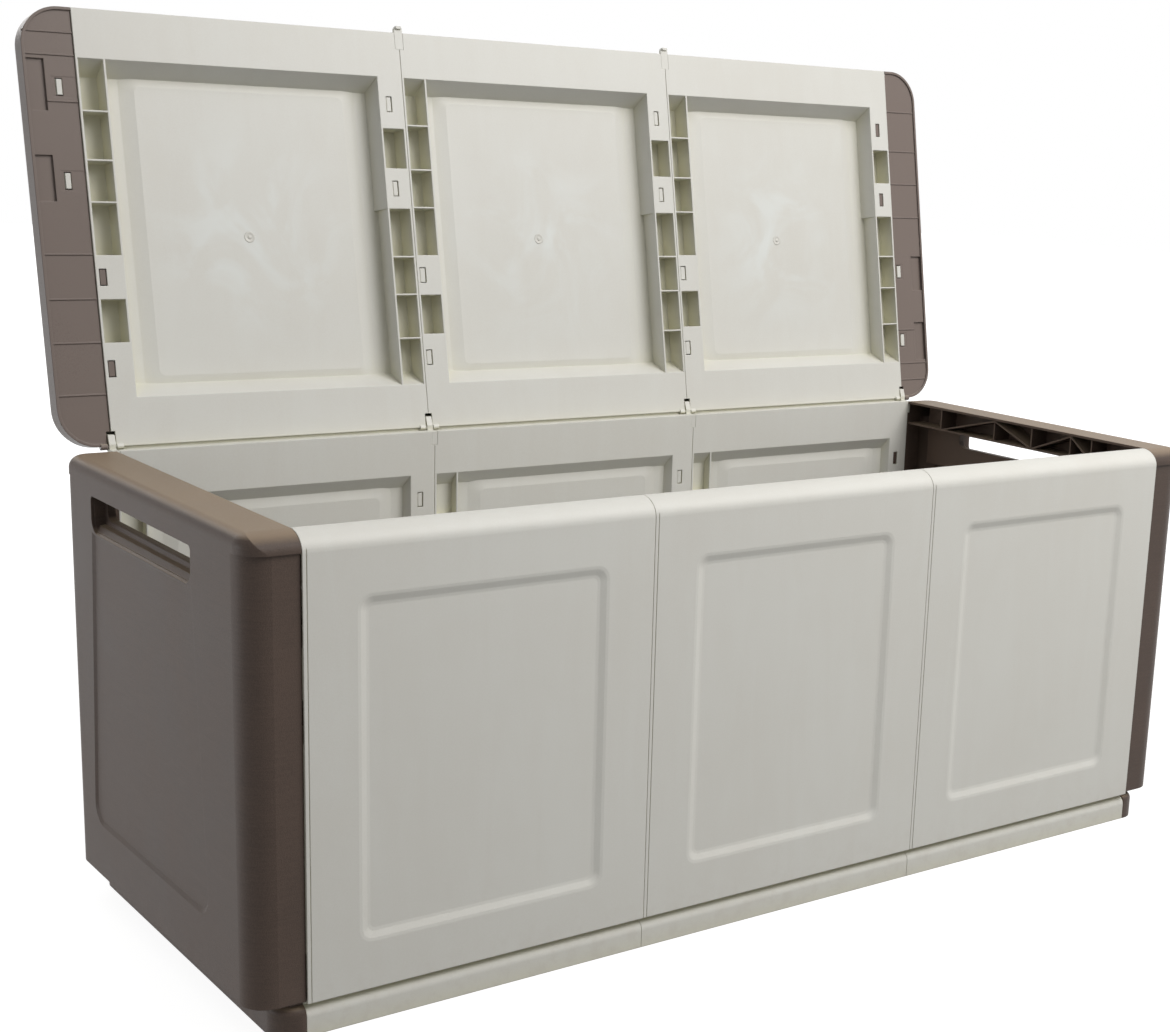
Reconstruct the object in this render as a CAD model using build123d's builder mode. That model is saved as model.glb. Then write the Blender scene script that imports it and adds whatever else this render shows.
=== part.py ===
"""Modular storage bench: moulded wall, floor and lid panels between two end panels."""
from build123d import *
from math import cos, radians, sin
import os

os.makedirs("parts", exist_ok=True)

# ---------------------------------------------------------------- driving dimensions (mm)
LENGTH = 1380.0  # overall, along X
DEPTH = 530.0  # overall, along Y
PITCH = 420.0  # one module along X
RIM_HEIGHT = 538.0  # top of the walls
MODULE_X = (-PITCH, 0.0, PITCH)
MODULE_NAMES = ("left", "centre", "right")
SEAM_X = (-1.5 * PITCH, -0.5 * PITCH, 0.5 * PITCH, 1.5 * PITCH)
SEAM_GAP = 0.6  # between neighbouring modules
SKIN = 2.3  # wall thickness of the mouldings

# walls
WALL_BASE = 38.0  # lower edge of the wall panels
WALL_HEIGHT = RIM_HEIGHT - WALL_BASE
WALL_THICKNESS = 27.0
BACK_THICKNESS = 16.0  # the back panels are slimmer
SHOULDER_WIDTH = 27.0  # rounded top edge of the front
SHOULDER_DROP = 21.0

# decorative recess on the outer faces
INSET_DEPTH = 3.6
INSET_BEVEL = 14.0
INSET_WIDTH = 302.0
WALL_INSET = (53.0, 431.0)  # lower and upper edge above the wall's lower edge
LID_INSET = (66.0, 444.0)
PAD_MARGIN = 2.0  # the raised back of the recess reaches this far past it
PAD_BEVEL = 18.0

# inner tray of a module, measured on a panel of the reference height
REFERENCE_HEIGHT = 512.0
BORDER = 57.0  # plain border at both ends
END_SLOPE = 17.0  # run of the sloping end walls of the tray
SIDE_SLOPE = 5.0
TRAY_X = 175.0
CELL_X = 207.0
WEB = 2.5
COLUMN_TOP = 226.0  # the open cells of the left column start here
CELL_RIBS = (288.0, 337.0, 394.0)
LONE_CELL = (123.0, 174.0)

# snap tongues between modules
SHORT_LEVELS = (92.0, 200.0)  # tongues on the right side, windows on the left side
LONG_LEVELS = (312.0, 420.0)  # tongues on the left side, windows on the right side
TONGUE_WIDTH = 18.0
TONGUE_THICKNESS = 2.5
TONGUE_PLAY = 0.5
SHORT_TONGUE = 16.0
LONG_TONGUE = 27.0
SHORT_WINDOW = (4.0, 13.0)  # distance of the window's edges from the seam
LONG_WINDOW = (17.0, 25.0)
WINDOW_HEIGHT = 20.0
POCKET_HEIGHT = 24.0
POCKET_DEPTH = 8.0

# floor
BASE_HEIGHT = 33.0
BASE_HALF_DEPTH = 262.0
SKIRT_RADIUS = 12.0
FLOOR_RIB_PITCH = 84.0
FLOOR_RIB = 2.0
RAIL_INNER = 241.0
RAIL_OUTER = 253.0

# end panels
END_WIDTH = (LENGTH - 3 * PITCH) / 2
END_X = LENGTH / 2
END_BASE = 40.0
END_SKIN = 3.5
END_CORNER = 30.0
END_HALF_DEPTH = 262.0
HOOD_BASE = RIM_HEIGHT - SHOULDER_DROP
HOOD_ROUND = 14.0
GRIP_Y = 19.0  # the grip and the inset panel under it sit behind the middle
GRIP_HALF_WIDTH = 148.0
GRIP_TOP = 502.0
GRIP_SILL = 475.0
GRIP_ROUND = 18.0  # lower corners of the grip's recess
SLOT_HALF_WIDTH = 144.0
SCOOP_BASE = 461.0
GRIP_WALL = 5.0  # around the recess
CHORD_HEIGHT = 502.0
TRUSS_X = (632.0, 666.0)
TRUSS_POSTS = (-222.0, -141.0, -100.0, -22.0, 56.0, 173.0)
TRUSS_RIB = 2.5
PLATE_HALF = 234.0
PANEL_TOP_HALF = 143.0  # the inset of the end wall is wider at the bottom
PANEL_BASE_HALF = 170.0
PANEL_BASE = 110.0
PANEL_TOP = 457.0
PANEL_INSET = 2.2
PANEL_BEVEL = 5.0
PANEL_WALL = 4.0  # thickness behind the inset
BASE_END_X = 662.0
BASE_END_CORNER = 28.0
BASE_END_ROUND = 8.0
END_LEDGE_X = 648.0  # ledge of the base that carries the end panel
END_LEDGE_HALF = 225.0
GRIP_BAND_BASE = 440.0

# lid and hinge
LID_LENGTH = 510.0
LID_THICKNESS = 31.0
LID_LEAN = 10.0  # degrees past upright when it rests on its stops
LID_EDGE_ROUND = 9.0
HINGE_Y = 266.0
HINGE_Z = 541.0
HINGE_OFFSET = 2.0  # from the lid's underside to the hinge axis
PIN_RADIUS = 2.0
PIN_HALF_LENGTH = 14.0
PIN_PLAY = 0.08
EAR_RADIUS = 3.8
EAR_INNER = 5.4
EAR_OUTER = 13.6
ARM_HALF_WIDTH = 4.0
ARM_HEAD = 14.0  # reach of the arm above the axis
ARM_FOOT = 18.0  # height of the arm's foot, which shows on the inner face of the wall
NOTCH_DEPTH = 18.0
LIP_HALF = 204.0
LIP_REACH = 12.0
LIP_DEPTHS = (13.0, 27.6)  # its face stops 0.3 mm short of the back panel
RELIEF = 5.0
RELIEF_HALF_WIDTH = 17.0
CATCH_WIDTH = 12.0
CATCH_LENGTH = 30.0
CATCH_REACH = 9.0
CATCH_THICKNESS = 4.0
CATCH_NOSE = 2.5

# lid ends
CAP_CORNER = 46.0
CAP_RIM = 3.5
CAP_STEP = 2.0  # the cap's floor lies this far above its rim
CAP_RIBS = (62.0, 123.0, 174.0, 226.0, 402.0, 455.0, 481.0)  # the far end's are turned half round
CAP_PADS = ((287.0, 340.0), (391.0, 450.0))


def front_frame(x):
    """Plane of a front panel: origin on the outer face, z points into the bin."""
    return Plane(origin=(x, -DEPTH / 2, WALL_BASE), x_dir=(-1, 0, 0), z_dir=(0, 1, 0))


def back_frame(x):
    """Plane of a back panel: origin on the outer face, z points into the bin."""
    return Plane(origin=(x, DEPTH / 2, WALL_BASE), x_dir=(1, 0, 0), z_dir=(0, -1, 0))


def lid_frame(x):
    """Plane of a lid panel: origin on the outer face at the hinge edge, z points to the underside."""
    lean = radians(LID_LEAN)
    rise = LID_THICKNESS - HINGE_OFFSET
    origin = (x, HINGE_Y + rise * cos(lean), HINGE_Z - rise * sin(lean))
    return Plane(origin=origin, x_dir=(1, 0, 0), z_dir=(0, -cos(lean), sin(lean)))


def block(frame, x_range, y_range, z_range, mode=Mode.ADD):
    """Box given by its ranges in the coordinates of a frame."""
    with BuildSketch(frame.offset(z_range[0])) as section:
        with Locations(((x_range[0] + x_range[1]) / 2, (y_range[0] + y_range[1]) / 2)):
            Rectangle(abs(x_range[1] - x_range[0]), abs(y_range[1] - y_range[0]))
    extrude(section.sketch, amount=z_range[1] - z_range[0], mode=mode)


def finish_part(part, label):
    """Name a finished piece and write its file."""
    part.label = label
    export_step(part, f"parts/{label}.step")


# ---------------------------------------------------------------- module features
def tongues(frame, side, thickness, scale):
    """Snap tongues that reach over the seam on one side of a module."""
    levels = SHORT_LEVELS if side > 0 else LONG_LEVELS
    reach = SHORT_TONGUE if side > 0 else LONG_TONGUE
    window = SHORT_WINDOW if side > 0 else LONG_WINDOW
    top = thickness - SKIN - TONGUE_PLAY
    seam = side * PITCH / 2
    for level in levels:
        low = level * scale - TONGUE_WIDTH / 2
        high = level * scale + TONGUE_WIDTH / 2
        root = seam - side * SKIN
        block(frame, (root, seam + side * reach), (low, high), (top - TONGUE_THICKNESS, top))
        hook = (seam + side * (window[0] + 1), seam + side * (window[1] - 1))
        block(frame, hook, (low, high), (top, thickness - 1))


def receivers(frame, side, thickness, scale):
    """Pockets and windows that take the tongues of the neighbouring module."""
    levels = LONG_LEVELS if side > 0 else SHORT_LEVELS
    reach = LONG_TONGUE if side > 0 else SHORT_TONGUE
    window = LONG_WINDOW if side > 0 else SHORT_WINDOW
    plate = thickness - SKIN
    seam = side * PITCH / 2
    for level in levels:
        centre = level * scale
        pocket = (centre - POCKET_HEIGHT / 2, centre + POCKET_HEIGHT / 2)
        opening = (centre - WINDOW_HEIGHT / 2, centre + WINDOW_HEIGHT / 2)
        hook = (seam - side * window[0], seam - side * window[1])
        inner = seam - side * (reach + 2)
        block(frame, (seam, inner), pocket, (plate - POCKET_DEPTH, plate), Mode.SUBTRACT)
        block(frame, hook, opening, (plate - 1, thickness + 1), Mode.SUBTRACT)


def tray_outline(frame, height, scale, depth, slope, side_slope):
    """Point-symmetric outline of the inner tray at one depth."""
    side = TRAY_X - side_slope
    cell = CELL_X - side_slope / 5
    low = COLUMN_TOP * scale
    with BuildSketch(frame.offset(depth)) as outline:
        with BuildLine():
            Polyline(
                (-cell, low),
                (-cell, height - BORDER - slope),
                (side, height - BORDER - slope),
                (side, height - low),
                (cell, height - low),
                (cell, BORDER + slope),
                (-side, BORDER + slope),
                (-side, low),
                close=True,
            )
        make_face()
    return outline.sketch.face()


def inset_outline(frame, limits, depth, margin, radius):
    """Rounded rectangle of the decorative recess at one depth."""
    with BuildSketch(frame.offset(depth)) as outline:
        with Locations((0, sum(limits) / 2)):
            RectangleRounded(INSET_WIDTH - 2 * margin, limits[1] - limits[0] - 2 * margin, radius)
    return outline.sketch.face()


def module_body(frame, height, thickness, limits):
    """Common body of the front, back and lid panels."""
    scale = height / REFERENCE_HEIGHT
    half = (PITCH - SEAM_GAP) / 2
    block(frame, (-half, half), (0, height), (0, thickness))

    # tray with sloping end walls
    mouth = tray_outline(frame, height, scale, thickness, 0, 0)
    floor = tray_outline(frame, height, scale, SKIN, END_SLOPE, SIDE_SLOPE)
    loft([mouth, floor], ruled=True, mode=Mode.SUBTRACT)

    # the decorative recess: raised inside, sunk outside
    pad_foot = inset_outline(frame, limits, SKIN, -PAD_MARGIN, 16)
    pad_top = inset_outline(frame, limits, SKIN + INSET_DEPTH, PAD_BEVEL - PAD_MARGIN, 8)
    loft([pad_foot, pad_top], ruled=True)
    recess = []
    for share in (0.0, 0.25, 0.5, 0.75, 1.0):
        depth = INSET_DEPTH * (1 - cos(radians(180 * share))) / 2
        recess.append(inset_outline(frame, limits, depth, INSET_BEVEL * share, 16 - 10 * share))
    loft(recess, ruled=True, mode=Mode.SUBTRACT)

    # hollow border beams, open at the seams
    depths = (SKIN, thickness - SKIN)
    block(frame, (-PITCH, PITCH), (SKIN + 1, BORDER - SKIN), depths, Mode.SUBTRACT)
    top = (height - BORDER + SKIN, height - SHOULDER_DROP - SKIN)
    block(frame, (-PITCH, PITCH), top, depths, Mode.SUBTRACT)

    # cell columns: webs, ribs and one lone cell on each side
    low = COLUMN_TOP * scale
    for side in (-1, 1):
        web = (side * TRAY_X, side * (TRAY_X + WEB))
        cell = (side * (TRAY_X + WEB), side * CELL_X)
        spans = (low, height - BORDER) if side < 0 else (BORDER, height - low)
        block(frame, web, spans, (SKIN, thickness))
        for rib in CELL_RIBS:
            level = rib * scale if side < 0 else height - rib * scale
            block(frame, cell, (level - 1, level + 1), (SKIN, thickness))
        limits_y = [edge * scale if side < 0 else height - edge * scale for edge in LONE_CELL]
        block(frame, cell, limits_y, (SKIN, thickness), Mode.SUBTRACT)
        # hollows above and below the lone cell, open at the seam
        hollow = (side * (TRAY_X + WEB), side * PITCH)
        near = (BORDER, LONE_CELL[0] * scale - SKIN)
        far = (LONE_CELL[1] * scale + SKIN, low - SKIN)
        for start, end in (near, far):
            levels = (start, end) if side < 0 else (height - start, height - end)
            block(frame, hollow, sorted(levels), depths, Mode.SUBTRACT)
        receivers(frame, side, thickness, scale)
        tongues(frame, side, thickness, scale)


def round_edge(frame, x_range, level, outward, width, drop):
    """Round an outer edge that runs along X: drop in the panel's plane, width across it."""
    origin = frame.origin + frame.x_dir * x_range[0]
    side_plane = Plane(origin=origin, x_dir=frame.y_dir, z_dir=frame.x_dir)
    foot = level - outward * drop
    clear = level + outward * 5
    start = 270 if outward > 0 else 180
    with BuildSketch(side_plane) as waste:
        with BuildLine():
            EllipticalCenterArc((foot, width), drop, width, start_angle=start, arc_size=90)
            Polyline((level, width), (clear, width), (clear, -5), (foot, -5), (foot, 0))
        make_face()
    extrude(waste.sketch, amount=x_range[1] - x_range[0], mode=Mode.SUBTRACT)


# ---------------------------------------------------------------- wall panels
def front_panel(name, x):
    with BuildPart() as panel:
        module_body(front_frame(x), WALL_HEIGHT, WALL_THICKNESS, WALL_INSET)
        span = (-PITCH / 2, PITCH / 2)
        round_edge(front_frame(x), span, WALL_HEIGHT, 1, SHOULDER_WIDTH, SHOULDER_DROP)
        # fine line beside the seam
        block(front_frame(x), (205.0, 205.8), (0, WALL_HEIGHT), (0, 0.8), Mode.SUBTRACT)
    finish_part(panel.part, f"front_panel_{name}")


def back_panel(name, x):
    frame = back_frame(x)
    with BuildPart() as panel:
        module_body(frame, WALL_HEIGHT, BACK_THICKNESS, WALL_INSET)
        for side in (-1, 1):
            # seat of the hinge arm and room for the lid's hinge ears
            seam = side * PITCH / 2
            arm = (seam, seam - side * (ARM_HALF_WIDTH + 0.2))
            block(frame, arm, (WALL_HEIGHT - 40, WALL_HEIGHT), (0, 14.2), Mode.SUBTRACT)
            foot = (WALL_HEIGHT - ARM_FOOT - 0.2, WALL_HEIGHT)
            block(frame, arm, foot, (14, BACK_THICKNESS), Mode.SUBTRACT)
            relief = (seam, seam - side * RELIEF_HALF_WIDTH)
            heights = (WALL_HEIGHT - RELIEF, WALL_HEIGHT)
            block(frame, relief, heights, (0, RELIEF), Mode.SUBTRACT)
    finish_part(panel.part, f"back_panel_{name}")


# ---------------------------------------------------------------- floor and base
def floor_panel(name, x):
    with BuildPart() as panel:
        with BuildSketch():
            with Locations((x, 0)):
                Rectangle(PITCH - SEAM_GAP, 2 * BASE_HALF_DEPTH)
        extrude(amount=BASE_HEIGHT)
        top_edges = panel.faces().sort_by(Axis.Z)[-1].edges().filter_by(Axis.X)
        fillet(top_edges, SKIRT_RADIUS)
        with BuildSketch():
            with Locations((x, 0)):
                with GridLocations(FLOOR_RIB_PITCH - 1, FLOOR_RIB_PITCH, 5, 6):
                    Rectangle(FLOOR_RIB_PITCH - 1 - FLOOR_RIB, FLOOR_RIB_PITCH - FLOOR_RIB)
        extrude(amount=BASE_HEIGHT - SKIN, mode=Mode.SUBTRACT)
        with BuildSketch(Plane.XY.offset(BASE_HEIGHT)):
            with Locations((x, 0)):
                with GridLocations(0, RAIL_INNER + RAIL_OUTER, 1, 2):
                    Rectangle(PITCH - SEAM_GAP, RAIL_OUTER - RAIL_INNER)
        extrude(amount=WALL_BASE - BASE_HEIGHT)
    finish_part(panel.part, f"floor_panel_{name}")


def base_end(name, side):
    inner = 1.5 * PITCH + SEAM_GAP / 2
    width = BASE_END_X - inner
    with BuildPart() as base:
        with BuildSketch():
            with Locations((side * (inner + width / 2), 0)):
                Rectangle(width, 2 * BASE_HALF_DEPTH)
            outer = vertices().sort_by(Axis.X)[-2:] if side > 0 else vertices().sort_by(Axis.X)[:2]
            fillet(outer, BASE_END_CORNER)
        extrude(amount=BASE_HEIGHT)
        rim = base.faces().sort_by(Axis.Z)[-1].edges()
        fillet(rim.sort_by(lambda edge: abs(edge.center().X))[1:], BASE_END_ROUND)
        with BuildSketch():
            with Locations((side * (inner + 14), 0)):
                with GridLocations(0, FLOOR_RIB_PITCH, 1, 5):
                    Rectangle(20, FLOOR_RIB_PITCH - SKIN)
        extrude(amount=BASE_HEIGHT - SKIN, mode=Mode.SUBTRACT)
        with BuildSketch(Plane.XY.offset(BASE_HEIGHT)):
            with Locations((side * (inner + 7), 0)):
                with GridLocations(0, RAIL_INNER + RAIL_OUTER, 1, 2):
                    Rectangle(14, RAIL_OUTER - RAIL_INNER)
            with Locations((side * (END_LEDGE_X + 4), 0)):
                Rectangle(8, 2 * END_LEDGE_HALF)
        extrude(amount=END_BASE - BASE_HEIGHT)
    finish_part(base.part, f"base_end_{name}")


# ---------------------------------------------------------------- end panels
def strut(start, end, x_range):
    """Thin diagonal rib between two points of the YZ plane."""
    run = Vector(end[0] - start[0], end[1] - start[1]).normalized()
    normal = Vector(-run.Y, run.X) * (TRUSS_RIB / 2)
    first = Vector(*start)
    last = Vector(*end)
    with BuildSketch(Plane.YZ.offset(x_range[0])) as section:
        with BuildLine():
            Polyline(first + normal, last + normal, last - normal, first - normal, close=True)
        make_face()
    extrude(section.sketch, amount=x_range[1] - x_range[0])


def end_outline(z, half_front, corner, side, inset=0.0):
    """Plan outline of an end panel, rounded on its outer corners."""
    inner = 1.5 * PITCH + SEAM_GAP / 2 + inset
    outer = END_X - inset
    front = -half_front + inset
    back = END_HALF_DEPTH - inset
    with BuildSketch(Plane.XY.offset(z)) as outline:
        with Locations((side * (inner + outer) / 2, (front + back) / 2)):
            Rectangle(outer - inner, back - front)
        corners = outline.vertices().sort_by(Axis.X)
        fillet(corners[-2:] if side > 0 else corners[:2], corner)
    return outline.sketch


def wall_inset(side, x, margin, radius):
    """Tapered outline of the panel under the grip."""
    with BuildSketch(Plane.YZ.offset(side * x)) as outline:
        with BuildLine():
            Polyline(
                (GRIP_Y - PANEL_TOP_HALF - margin, PANEL_TOP + margin),
                (GRIP_Y + PANEL_TOP_HALF + margin, PANEL_TOP + margin),
                (GRIP_Y + PANEL_BASE_HALF + margin, PANEL_BASE - margin),
                (GRIP_Y - PANEL_BASE_HALF - margin, PANEL_BASE - margin),
                close=True,
            )
        make_face()
        fillet(outline.vertices().sort_by(Axis.Y)[:2], radius)
    return outline.sketch.face()


def grip_cut(side):
    """Form of the grip: a stepped recess in the outer wall that ends in a slot right through."""
    recess_top = GRIP_TOP + 2
    with BuildPart() as cut:
        near_end = Plane(origin=(0, GRIP_Y - GRIP_HALF_WIDTH, 0), x_dir=(1, 0, 0), z_dir=(0, -1, 0))
        with BuildSketch(near_end) as steps:
            with BuildLine():
                Polyline(
                    (side * (END_X + 1), SCOOP_BASE),
                    (side * (END_X - 1), SCOOP_BASE + 0.5),
                    (side * (END_X - 4), SCOOP_BASE + 3),
                    (side * (END_X - 8), SCOOP_BASE + 8),
                    (side * (END_X - 15), SCOOP_BASE + 9),
                    (side * (END_X - 17), GRIP_SILL + 0.5),
                    (side * (END_X - 17), GRIP_TOP - 0.5),
                    (side * (END_X + 1), recess_top),
                    close=True,
                )
            make_face()
        extrude(steps.sketch, amount=-2 * GRIP_HALF_WIDTH)
        with BuildSketch(Plane.YZ.offset(side * (END_X + 1))) as mouth:
            with Locations((GRIP_Y, (SCOOP_BASE + recess_top) / 2)):
                Rectangle(2 * GRIP_HALF_WIDTH, recess_top - SCOOP_BASE)
            fillet(mouth.vertices().sort_by(Axis.Y)[:2], GRIP_ROUND)
            fillet(mouth.vertices().sort_by(Axis.Y)[-2:], GRIP_ROUND / 3)
        extrude(mouth.sketch, amount=-side * 20, mode=Mode.INTERSECT)
        with BuildSketch(Plane.YZ.offset(side * (TRUSS_X[1] - SKIN - 0.5))) as slot:
            with Locations((GRIP_Y, (GRIP_SILL + GRIP_TOP) / 2)):
                RectangleRounded(2 * SLOT_HALF_WIDTH, GRIP_TOP - GRIP_SILL, (GRIP_TOP - GRIP_SILL) / 2 - 0.5)
        extrude(slot.sketch, amount=side * 20)
    return cut.part


def end_panel(name, side, grip):
    """Hollow end of the chest, open towards the bin, with rounded corners and a hood."""
    world = Plane.XY
    inner = 1.5 * PITCH + SEAM_GAP / 2
    skin_x = END_X - END_SKIN
    top_plate = RIM_HEIGHT - END_SKIN
    neighbour = side * 2 * PITCH
    post_x = (side * inner, side * (inner + 28))
    front_face = -DEPTH / 2 + WALL_THICKNESS
    back_face = DEPTH / 2 - BACK_THICKNESS
    with BuildPart() as panel:
        # outer form: wall with rounded corners under a slightly wider hood
        lower = end_outline(END_BASE, END_HALF_DEPTH, END_CORNER, side)
        extrude(lower, amount=HOOD_BASE - END_BASE)
        hood = end_outline(HOOD_BASE, DEPTH / 2, END_CORNER - 3, side)
        extrude(hood, amount=SHOULDER_DROP)
        rim = panel.faces().sort_by(Axis.Z)[-1].edges()
        outer_rim = rim.sort_by(lambda edge: abs(edge.center().X))[1:]
        fillet(outer_rim, HOOD_ROUND)
        span = sorted((-side * inner, -side * (END_X + 1)))
        round_edge(front_frame(0), span, WALL_HEIGHT, 1, SHOULDER_WIDTH, SHOULDER_DROP)

        # hollow interior, open towards the bin
        cavity = end_outline(END_BASE + END_SKIN, END_HALF_DEPTH, END_CORNER - END_SKIN, side, END_SKIN)
        extrude(cavity, amount=HOOD_BASE - 5 - END_BASE - END_SKIN, mode=Mode.SUBTRACT)
        hood_y = (front_face + 2, back_face)
        block(world, (side * 634, side * 682), hood_y, (HOOD_BASE - 6, top_plate), Mode.SUBTRACT)
        mouth_y = (front_face, back_face)
        block(world, (side * 629, side * 636), mouth_y, (END_BASE - 1, top_plate), Mode.SUBTRACT)
        block(world, (side * 629, side * 650), mouth_y, (END_BASE - 1, END_BASE + 5), Mode.SUBTRACT)

        # corner posts that meet the front and back panels
        for post_y in ((front_face - SKIN, front_face), (back_face, back_face + SKIN)):
            block(world, post_x, post_y, (END_BASE, HOOD_BASE))

        # inset panel of the end wall, with its own thickness behind it
        pad = wall_inset(side, END_X - PANEL_INSET - PANEL_WALL, PANEL_WALL, 24)
        extrude(pad, amount=side * PANEL_WALL)
        sunk_edge = wall_inset(side, END_X, PANEL_BEVEL, 25)
        sunk_floor = wall_inset(side, END_X - PANEL_INSET, 0, 20)
        loft([sunk_edge, sunk_floor], ruled=True, mode=Mode.SUBTRACT)
        add(grip, mode=Mode.SUBTRACT)

        # snap tongues and their pockets, as on a neighbouring module
        scale = WALL_HEIGHT / REFERENCE_HEIGHT
        front = front_frame(neighbour)
        receivers(front, side, WALL_THICKNESS, scale)
        tongues(front, side, WALL_THICKNESS, scale)
        back = back_frame(neighbour)
        receivers(back, -side, BACK_THICKNESS, scale)
        tongues(back, -side, BACK_THICKNESS, scale)

        # seat of the outer hinge arm and room for the lid's ear
        seat_x = (side * 1.5 * PITCH, side * (1.5 * PITCH + ARM_HALF_WIDTH + 0.2))
        seat_z = (RIM_HEIGHT - 40, RIM_HEIGHT)
        block(world, seat_x, (DEPTH / 2 - 14.2, DEPTH / 2), seat_z, Mode.SUBTRACT)
        foot_y = (back_face, DEPTH / 2 - 14)
        foot_z = (RIM_HEIGHT - ARM_FOOT - 0.2, RIM_HEIGHT)
        block(world, seat_x, foot_y, foot_z, Mode.SUBTRACT)
        relief_x = (side * 1.5 * PITCH, side * (1.5 * PITCH + RELIEF_HALF_WIDTH))
        relief_z = (RIM_HEIGHT - RELIEF, RIM_HEIGHT)
        block(world, relief_x, (DEPTH / 2 - RELIEF, DEPTH / 2), relief_z, Mode.SUBTRACT)
    finish_part(panel.part, f"end_panel_{name}")


def end_frame(name, side, grip):
    """Stiffening frame inside an end panel: plate, grip box and a truss under the rim."""
    world = Plane.XY
    skin_x = END_X - END_SKIN
    pad_x = END_X - PANEL_INSET - PANEL_WALL
    pad_top = PANEL_TOP + PANEL_WALL
    top_plate = RIM_HEIGHT - END_SKIN
    plate_x = (side * (TRUSS_X[1] - SKIN), side * TRUSS_X[1])
    rib_x = sorted((side * TRUSS_X[0], plate_x[0]))
    with BuildPart() as frame:
        block(world, plate_x, (-PLATE_HALF, PLATE_HALF), (GRIP_BAND_BASE, top_plate))
        band_z = (GRIP_BAND_BASE, GRIP_BAND_BASE + SKIN)
        block(world, (plate_x[0], side * pad_x), (-PLATE_HALF, PLATE_HALF), band_z)

        # box around the grip, against the inset panel below and the wall above
        reach = GRIP_HALF_WIDTH + GRIP_WALL
        box_y = (GRIP_Y - reach, GRIP_Y + reach)
        box_z = (SCOOP_BASE - 8, GRIP_TOP + GRIP_WALL)
        block(world, (plate_x[0], side * pad_x), box_y, box_z)
        block(world, (plate_x[0], side * skin_x), box_y, (pad_top, box_z[1]))

        # truss: a chord, posts and diagonals
        chord_z = (CHORD_HEIGHT, CHORD_HEIGHT + TRUSS_RIB)
        block(world, rib_x, (TRUSS_POSTS[0], DEPTH / 2 - BACK_THICKNESS), chord_z)
        for post in TRUSS_POSTS:
            rib_y = (post - TRUSS_RIB / 2, post + TRUSS_RIB / 2)
            block(world, rib_x, rib_y, (CHORD_HEIGHT, top_plate))
        chord_middle = CHORD_HEIGHT + TRUSS_RIB / 2
        top_middle = top_plate - TRUSS_RIB / 2
        for index, (first, last) in enumerate(zip(TRUSS_POSTS, TRUSS_POSTS[1:])):
            rising = index % 2 == 0
            start = (first, top_middle if rising else chord_middle)
            end = (last, chord_middle if rising else top_middle)
            strut(start, end, rib_x)
        add(grip, mode=Mode.SUBTRACT)
    finish_part(frame.part, f"end_frame_{name}")


# ---------------------------------------------------------------- hinges
def hinge_arm(index, x):
    """Upright arm seated between two back panels, with an eye for the pin."""
    back = DEPTH / 2
    inner = back - BACK_THICKNESS + 0.2
    with BuildPart() as arm:
        with BuildSketch(Plane.YZ.offset(x - ARM_HALF_WIDTH)):
            with BuildLine():
                Polyline(
                    (back - 14, RIM_HEIGHT - 40),
                    (back - 1, RIM_HEIGHT - 40),
                    (back - 1, RIM_HEIGHT - 12),
                    (HINGE_Y + 5, HINGE_Z - 4),
                    (HINGE_Y + 6, HINGE_Z + ARM_HEAD),
                    (HINGE_Y + 0.5, HINGE_Z + ARM_HEAD),
                    (HINGE_Y - EAR_RADIUS, HINGE_Z + 3),
                    (HINGE_Y - EAR_RADIUS, HINGE_Z - 2.5),
                    (back - 8, RIM_HEIGHT - 0.3),
                    (inner, RIM_HEIGHT - 0.3),
                    (inner, RIM_HEIGHT - ARM_FOOT),
                    (back - 14, RIM_HEIGHT - ARM_FOOT),
                    close=True,
                )
            make_face()
            with Locations((HINGE_Y, HINGE_Z)):
                Circle(PIN_RADIUS + PIN_PLAY, mode=Mode.SUBTRACT)
        extrude(amount=2 * ARM_HALF_WIDTH)
    finish_part(arm.part, f"hinge_arm_{index}")


def hinge_pin(index, x):
    with BuildPart() as pin:
        with BuildSketch(Plane.YZ.offset(x - PIN_HALF_LENGTH)):
            with Locations((HINGE_Y, HINGE_Z)):
                Circle(PIN_RADIUS)
        extrude(amount=2 * PIN_HALF_LENGTH)
        chamfer(pin.edges().filter_by(GeomType.CIRCLE), 0.4)
    finish_part(pin.part, f"hinge_pin_{index}")


def hinge_ear(x, side):
    """Ear on the lid beside a hinge arm; the pin is held in it."""
    start = x + side * EAR_INNER
    with BuildSketch(Plane.YZ.offset(start)) as section:
        with Locations((HINGE_Y, HINGE_Z)):
            Circle(EAR_RADIUS)
    extrude(section.sketch, amount=side * (EAR_OUTER - EAR_INNER))


def pin_hole(x, side):
    with BuildSketch(Plane.YZ.offset(x)) as section:
        with Locations((HINGE_Y, HINGE_Z)):
            Circle(PIN_RADIUS)
    extrude(section.sketch, amount=side * PIN_HALF_LENGTH, mode=Mode.SUBTRACT)


# ---------------------------------------------------------------- lid
def lid_notches(frame, seam, side):
    """Cuts beside a seam: room for the hinge arm and the seat of the front catch."""
    half = ARM_HALF_WIDTH + 1
    depths = (LID_THICKNESS - NOTCH_DEPTH - HINGE_OFFSET, LID_THICKNESS + 6)
    block(frame, (seam, seam + side * half), (-8, NOTCH_DEPTH), depths, Mode.SUBTRACT)


def catch_seat(frame, seam, side):
    half = CATCH_WIDTH / 2
    levels = (LID_LENGTH - CATCH_LENGTH + CATCH_REACH, LID_LENGTH + 1)
    depths = (LID_THICKNESS - CATCH_THICKNESS, LID_THICKNESS + 1)
    block(frame, (seam, seam + side * half), levels, depths, Mode.SUBTRACT)


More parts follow.
